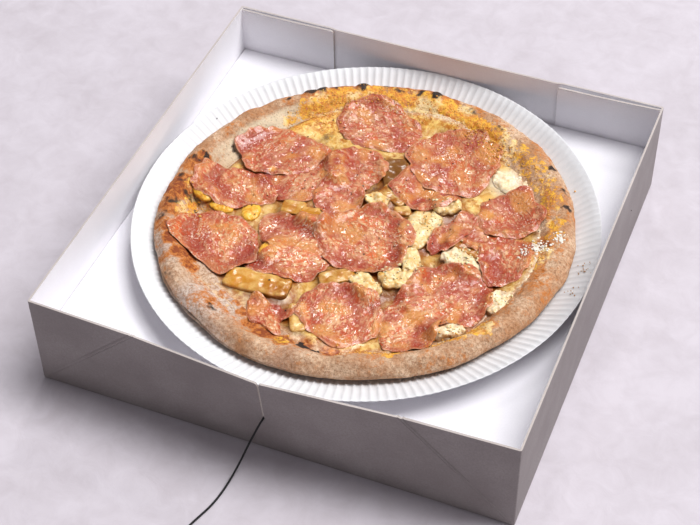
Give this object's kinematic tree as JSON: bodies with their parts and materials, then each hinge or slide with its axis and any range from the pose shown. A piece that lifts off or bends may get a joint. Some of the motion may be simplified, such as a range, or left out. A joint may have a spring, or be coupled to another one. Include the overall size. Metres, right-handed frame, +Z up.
{
  "type": "pizza in its box",
  "caption": "Round salami, potato and cheese pizza on a fluted paper plate in a square open board tray with a raised floor, folded corners and a thin tie cord.",
  "frame": {"origin": "middle of the tray's underside", "axes": "+Z up, +X along the front wall to the right, -Y out of the front wall, which has the slit and the cord"},
  "size_m": [0.286, 0.3716, 0.065],
  "materials": {
    "tray_board": "matt",
    "insert_board": "matt",
    "plate_paper": "matt",
    "crust": "matt, floury",
    "melted_cheese": "oily",
    "salami": "oily",
    "potato": "oily, translucent",
    "mash": "moist",
    "cream": "moist",
    "cord": "matt"
  },
  "bodies": {
    "root": {"box_tray": "tray_board", "cheese_lump_01": "melted_cheese", "cheese_lump_02": "melted_cheese", "cheese_lump_03": "melted_cheese", "cheese_lump_04": "melted_cheese", "cord_coil": "cord", "cord_knot": "cord", "cord_lead": "cord", "cream_01": "cream", "cream_02": "cream", "cream_03": "cream", "cream_04": "cream", "mash_01": "mash", "mash_02": "mash", "mash_03": "mash", "mash_04": "mash", "mash_05": "mash", "mash_06": "mash", "melted_cheese": "melted_cheese", "paper_plate": "plate_paper", "pizza_base": "crust", "potato_01": "potato", "potato_02": "potato", "potato_03": "potato", "potato_04": "potato", "potato_05": "potato", "potato_06": "potato", "potato_07": "potato", "potato_08": "potato", "potato_09": "potato", "potato_10": "potato", "potato_11": "potato", "raised_floor": "insert_board", "salami_01": "salami", "salami_02": "salami", "salami_03": "salami", "salami_04": "salami", "salami_05": "salami", "salami_06": "salami", "salami_07": "salami", "salami_08": "salami", "salami_09": "salami", "salami_10": "salami", "salami_11": "salami", "salami_12": "salami", "salami_13": "salami", "salami_14": "salami", "salami_15": "salami", "salami_16": "salami", "salami_17": "salami", "salami_18": "salami", "salami_19": "salami"}
  },
  "joints": []
}
